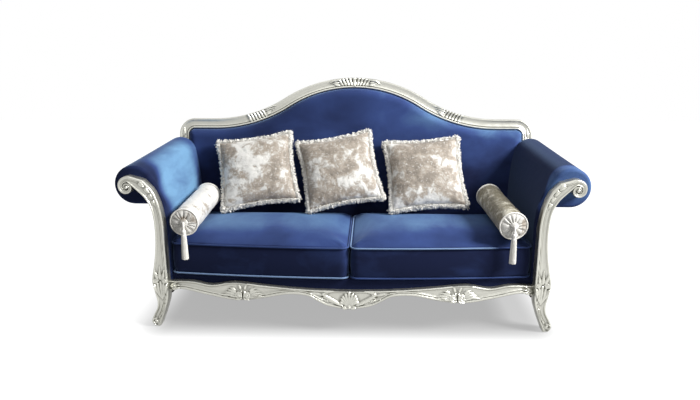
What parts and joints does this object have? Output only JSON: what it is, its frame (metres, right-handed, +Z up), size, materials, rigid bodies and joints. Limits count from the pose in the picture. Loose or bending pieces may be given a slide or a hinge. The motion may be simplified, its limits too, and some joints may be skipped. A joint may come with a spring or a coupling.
{
  "type": "throne sofa",
  "caption": "Carved throne sofa with a bowed seat, camel-back crest, scroll arms on cabriole legs, velvet upholstery, loose seat cushions, fringed pillows and tasselled bolsters.",
  "frame": {"origin": "centre of the footprint at floor level", "axes": "+X to the viewer's right along the seat, +Y from the front to the back, +Z up"},
  "size_m": [2.124, 0.86, 1.1228],
  "materials": {
    "carved_silver": "carved wood in satin champagne-silver paint",
    "frame_wood": "planed beech, unfinished",
    "blue_velvet": "royal blue velvet with a strong sheen over padding",
    "blue_piping": "light blue velvet-covered piping cord",
    "crushed_velvet": "crushed velvet, champagne and white",
    "pale_fringe": "looped fringe, off-white",
    "bolster_pale": "crushed velvet, off-white, gathered ends",
    "bolster_taupe": "crushed velvet, taupe",
    "bolster_welt": "covered cord, off-white",
    "tassel_thread": "silky thread, pale silver",
    "spring_steel": "oiled spring wire",
    "hardware_steel": "zinc plated",
    "jute": "woven jute",
    "dust_cloth": "black non-woven cloth",
    "glide_plastic": "black nylon"
  },
  "bodies": {
    "frame": {"crest_rail": "carved_silver", "left_front_post": "carved_silver", "right_front_post": "carved_silver", "front_apron": "carved_silver", "left_rear_leg": "carved_silver", "right_rear_leg": "carved_silver", "front_seat_rail": "frame_wood", "back_seat_rail": "frame_wood", "left_side_rail": "frame_wood", "right_side_rail": "frame_wood", "centre_stretcher": "frame_wood", "corner_blocks": "frame_wood", "left_back_stile": "frame_wood", "right_back_stile": "frame_wood", "back_tail_rail": "frame_wood", "back_centre_stile": "frame_wood", "left_arm_board": "frame_wood", "right_arm_board": "frame_wood", "left_arm_roll_core": "frame_wood", "right_arm_roll_core": "frame_wood", "inside_back_pad": "blue_velvet", "outside_back": "blue_velvet", "left_arm_pad": "blue_velvet", "right_arm_pad": "blue_velvet", "left_outside_arm": "blue_velvet", "right_outside_arm": "blue_velvet", "seat_deck": "blue_velvet", "seat_springs": "spring_steel", "spring_clips": "spring_steel", "block_screws": "hardware_steel", "post_bolts": "hardware_steel", "back_webbing": "jute", "spring_burlap": "jute", "dust_cover": "dust_cloth", "floor_glides": "glide_plastic"},
    "left_cushion": {"left_seat_cushion": "blue_velvet", "left_cushion_piping": "blue_piping"},
    "right_cushion": {"right_seat_cushion": "blue_velvet", "right_cushion_piping": "blue_piping"},
    "left_throw_pillow": {"left_pillow": "crushed_velvet", "left_pillow_fringe": "pale_fringe"},
    "middle_throw_pillow": {"middle_pillow": "crushed_velvet", "middle_pillow_fringe": "pale_fringe"},
    "right_throw_pillow": {"right_pillow": "crushed_velvet", "right_pillow_fringe": "pale_fringe"},
    "left_bolster_roll": {"left_bolster": "bolster_pale", "left_bolster_ends": "bolster_pale", "left_bolster_welts": "bolster_welt", "left_bolster_buttons": "bolster_pale"},
    "right_bolster_roll": {"right_bolster": "bolster_taupe", "right_bolster_ends": "bolster_pale", "right_bolster_welts": "bolster_welt", "right_bolster_buttons": "bolster_pale"},
    "left_tassel_hanger": {"left_tassel": "tassel_thread"},
    "right_tassel_hanger": {"right_tassel": "tassel_thread"}
  },
  "joints": [
    {"name": "left_cushion_slide", "type": "slide", "parent": "frame", "child": "left_cushion", "axis": [0, -1, 0], "range_m": [0, 0.45]},
    {"name": "right_cushion_slide", "type": "slide", "parent": "frame", "child": "right_cushion", "axis": [0, -1, 0], "range_m": [0, 0.45]},
    {"name": "left_pillow_lift", "type": "slide", "parent": "left_cushion", "child": "left_throw_pillow", "axis": [0, -0.3401, 0.9404], "range_m": [0, 0.45]},
    {"name": "middle_pillow_lift", "type": "slide", "parent": "frame", "child": "middle_throw_pillow", "axis": [0, -0.3401, 0.9404], "range_m": [0, 0.45]},
    {"name": "right_pillow_lift", "type": "slide", "parent": "right_cushion", "child": "right_throw_pillow", "axis": [0, -0.3401, 0.9404], "range_m": [0, 0.45]},
    {"name": "left_bolster_lift", "type": "slide", "parent": "left_cushion", "child": "left_bolster_roll", "axis": [0, -0.6, 0.8], "range_m": [0, 0.35]},
    {"name": "right_bolster_lift", "type": "slide", "parent": "right_cushion", "child": "right_bolster_roll", "axis": [0, -0.6, 0.8], "range_m": [0, 0.35]},
    {"name": "left_tassel_swing", "type": "hinge", "parent": "left_bolster_roll", "child": "left_tassel_hanger", "pos_m": [-0.7494, -0.4118, 0.5105], "axis": [-1, 0, 0], "range_deg": [0, 75]},
    {"name": "right_tassel_swing", "type": "hinge", "parent": "right_bolster_roll", "child": "right_tassel_hanger", "pos_m": [0.7312, -0.4139, 0.5086], "axis": [-1, 0, 0], "range_deg": [0, 75]}
  ]
}
